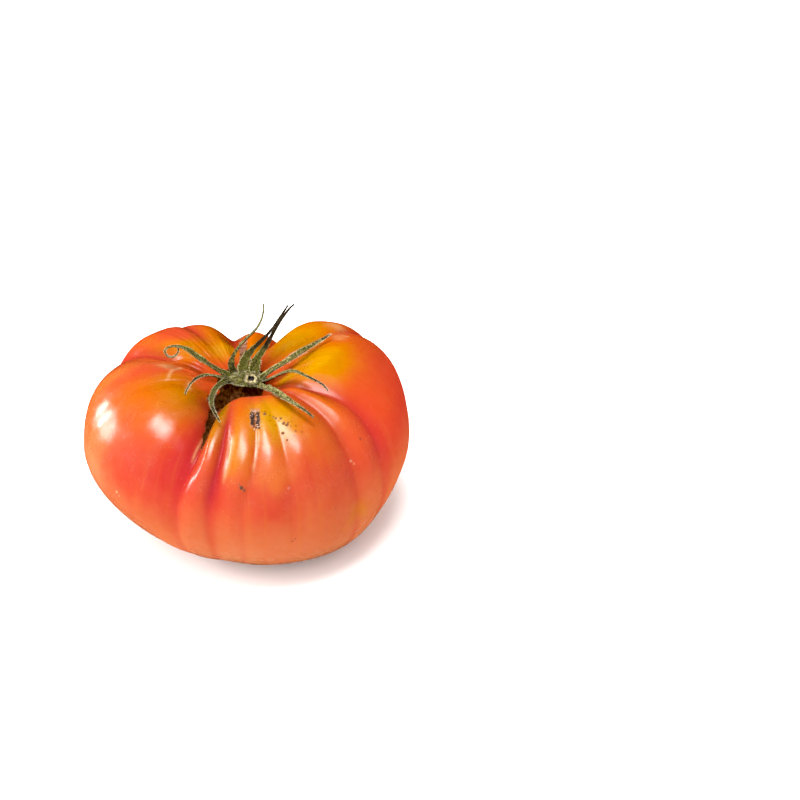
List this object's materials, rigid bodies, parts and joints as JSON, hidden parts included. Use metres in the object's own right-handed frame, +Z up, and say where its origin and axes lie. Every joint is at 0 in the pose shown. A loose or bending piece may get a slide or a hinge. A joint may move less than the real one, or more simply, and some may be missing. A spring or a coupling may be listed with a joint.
{
  "type": "raf tomato",
  "caption": "Flattened, deeply ribbed beefsteak tomato with a corky stalk cavity, a short stalk stub and a star of narrow dry sepals.",
  "frame": {"origin": "middle of the whole part's outline seen from above, at the height of the surface it stands on", "axes": "+Z up through the stalk end, +X to the right of the side shown in the picture and along the fruit's greater width, -Y towards the viewer of that side"},
  "size_m": [0.0912, 0.0836, 0.0636],
  "materials": {
    "tomato_skin": "waxy tomato skin, orange red with yellow and olive shoulders, semi-gloss",
    "sepal_green": "dry downy leaf, olive green, matt",
    "sepal_dark": "dried leaf, brown black, matt",
    "sepal_pale": "dried leaf, pale olive, matt",
    "stalk_straw": "broken dry stalk, straw yellow, matt"
  },
  "bodies": {
    "root": {"fruit": "tomato_skin", "calyx_plate": "sepal_green", "pedicel_stub": "stalk_straw", "sepal_left_curled": "sepal_green", "sepal_left_thin": "sepal_green", "sepal_front_left": "sepal_green", "sepal_rear_thin": "sepal_pale", "sepal_rear_left": "sepal_dark", "sepal_rear_right": "sepal_dark", "sepal_right_long": "sepal_green", "sepal_right_arched": "sepal_green", "sepal_front_right": "sepal_green"}
  },
  "joints": []
}
